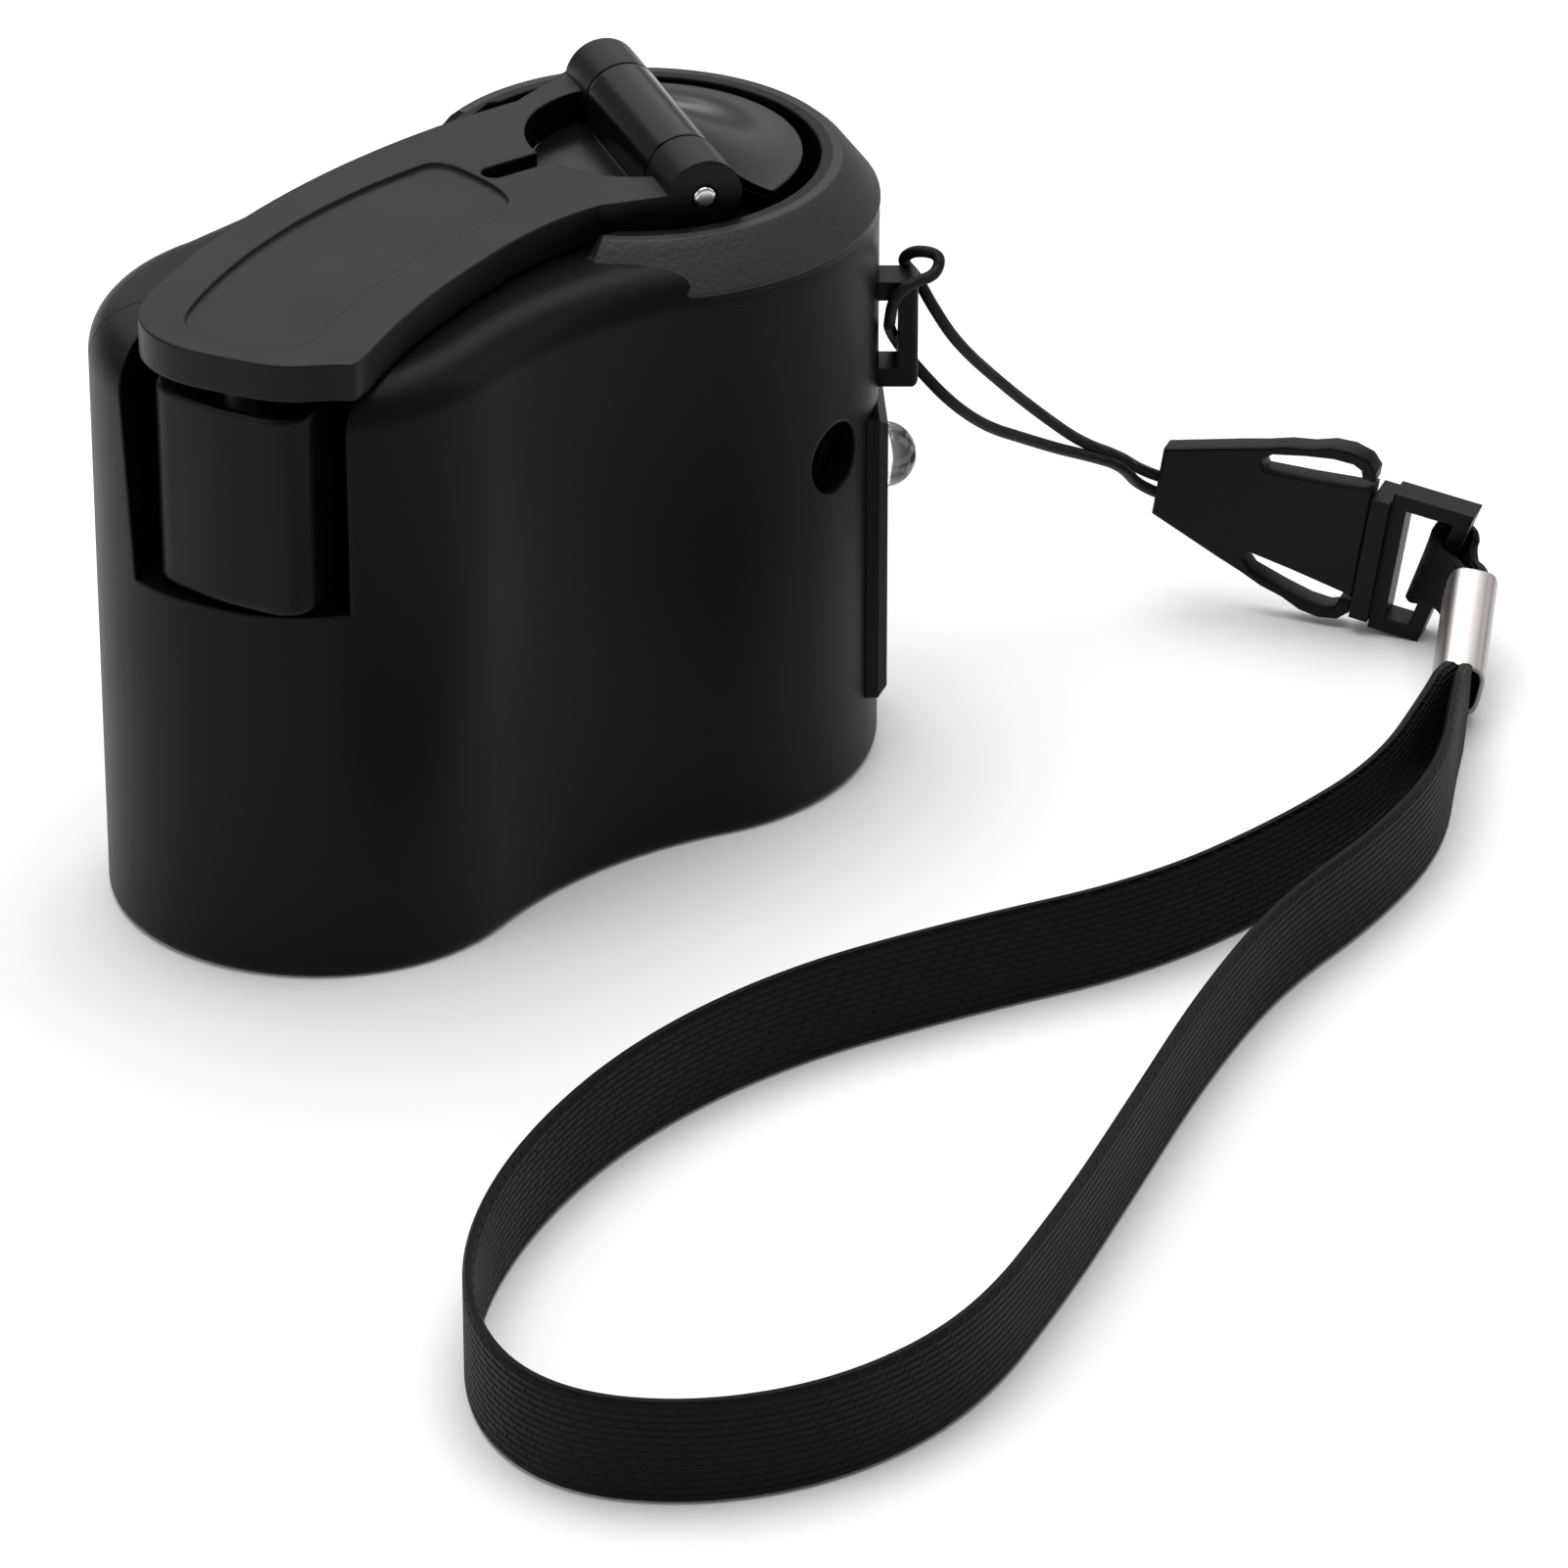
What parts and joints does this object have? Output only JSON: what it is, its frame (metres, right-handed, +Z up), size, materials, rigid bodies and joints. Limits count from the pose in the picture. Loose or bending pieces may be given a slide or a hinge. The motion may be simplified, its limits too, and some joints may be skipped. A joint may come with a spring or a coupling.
{
  "type": "hand crank phone charger",
  "caption": "Pocket hand crank phone charger in black plastic with a folded crank, lamp and charging socket at one end, and a wrist strap on a quick-release buckle.",
  "frame": {"origin": "on the crank's turning axis, at the underside of the case", "axes": "X runs along the parting line of the two case halves from the knob end to the hub end, Y away from the side with the knob recess, Z up out of the crank hub"},
  "size_m": [0.1254, 0.1141, 0.0527],
  "materials": {
    "body_plastic": "satin black moulded plastic",
    "dark_plastic": "black moulded plastic",
    "gloss_black": "glossier black plastic of the crank hub",
    "nickel": "bright nickelled steel",
    "steel": "plain steel",
    "clear_lens": "clear lamp dome",
    "white_nylon": "white gear plastic",
    "board": "green circuit board",
    "copper": "enamelled copper wire",
    "ferrite": "dark ferrite",
    "cap_sleeve": "capacitor sleeve",
    "bronze": "sintered bronze",
    "webbing": "woven black webbing",
    "cord": "thin black string"
  },
  "bodies": {
    "housing": {"front_shell": "body_plastic", "rear_shell": "body_plastic", "case_screws": "steel", "end_panel": "dark_plastic", "led_lamp": "clear_lens", "usb_shell": "nickel", "usb_tongue": "dark_plastic", "charge_jack": "dark_plastic", "circuit_board": "board", "smoothing_capacitor": "cap_sleeve", "power_choke": "ferrite", "lanyard_bail": "dark_plastic", "crank_bush": "bronze", "lower_gear_plate": "steel", "upper_gear_plate": "steel", "plate_pillars": "steel", "idler_axle": "steel", "generator_can": "steel", "generator_end_cap": "dark_plastic", "generator_magnets": "ferrite", "string_cord": "cord", "buckle_socket": "dark_plastic"},
    "crank": {"crank_hub": "gloss_black", "crank_shaft": "steel", "crank_gear": "white_nylon", "shaft_clip": "steel", "hinge_pin": "nickel"},
    "arm": {"crank_arm": "body_plastic", "knob_pin": "steel"},
    "grip": {"knob": "dark_plastic"},
    "idler": {"idler_gear": "white_nylon"},
    "rotor": {"rotor_core": "steel", "rotor_coils": "copper", "generator_shaft": "steel", "generator_pinion": "bronze"},
    "strap_end": {"buckle_frame": "dark_plastic", "strap_clamp": "nickel", "wrist_strap": "webbing"}
  },
  "joints": [
    {"name": "crank_spin", "type": "hinge", "parent": "housing", "child": "crank", "pos_m": [0, 0, 0.043], "axis": [0, 0, 1], "range_deg": [-2, 2]},
    {"name": "arm_fold", "type": "hinge", "parent": "crank", "child": "arm", "pos_m": [0.00127, -0.0003, 0.0495], "axis": [0.23, 0.9732, 0], "range_deg": [0, 180]},
    {"name": "knob_spin", "type": "hinge", "parent": "arm", "child": "grip", "pos_m": [-0.04149, -0.01371, 0.04], "axis": [0, 0, 1], "continuous": true},
    {"name": "idler_spin", "type": "hinge", "parent": "housing", "child": "idler", "pos_m": [-0.01635, -0.00132, 0.03], "axis": [0, 0, 1], "continuous": true},
    {"name": "rotor_spin", "type": "hinge", "parent": "housing", "child": "rotor", "pos_m": [-0.0292, -0.00577, 0.018], "axis": [0, 0, 1], "continuous": true},
    {"name": "buckle_release", "type": "slide", "parent": "housing", "child": "strap_end", "axis": [0.5952, -0.7899, -0.1478], "range_m": [0, 0.009]}
  ],
  "couplings": [
    {"joint": "idler_spin", "follows": "crank_spin", "ratio": -5.8333},
    {"joint": "rotor_spin", "follows": "crank_spin", "ratio": 27.222}
  ]
}
